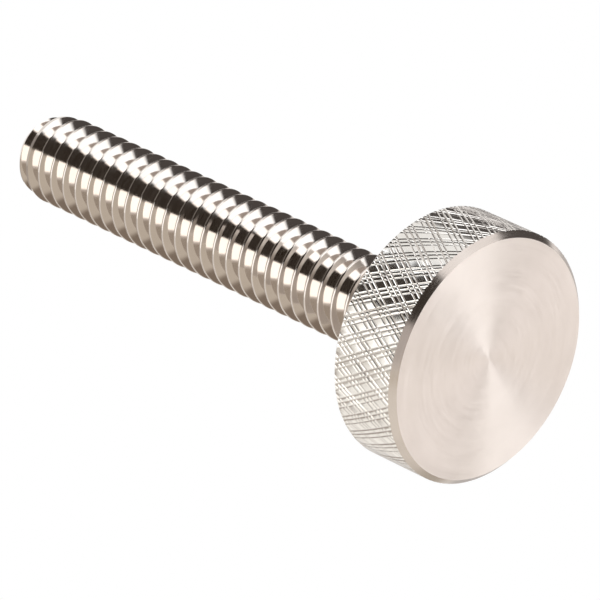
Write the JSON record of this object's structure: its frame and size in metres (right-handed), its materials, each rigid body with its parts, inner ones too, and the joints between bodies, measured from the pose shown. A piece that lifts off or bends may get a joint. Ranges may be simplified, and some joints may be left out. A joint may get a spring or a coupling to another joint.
{
  "type": "thumb screw",
  "caption": "Metal thumb screw turned in one piece, with a flat round diamond-knurled head and a long right-hand threaded shank.",
  "frame": {"origin": "centre of the head's flat outer face, on the surface that the screw stands on", "axes": "+Z along the axis of the screw, from the head to the tip; +X and +Y are any two directions across it"},
  "size_m": [0.0174, 0.0174, 0.0438],
  "materials": {
    "stainless_steel": "turned bright, satin on the flat faces"
  },
  "bodies": {
    "root": {"thumb_screw": "stainless_steel"}
  },
  "joints": []
}
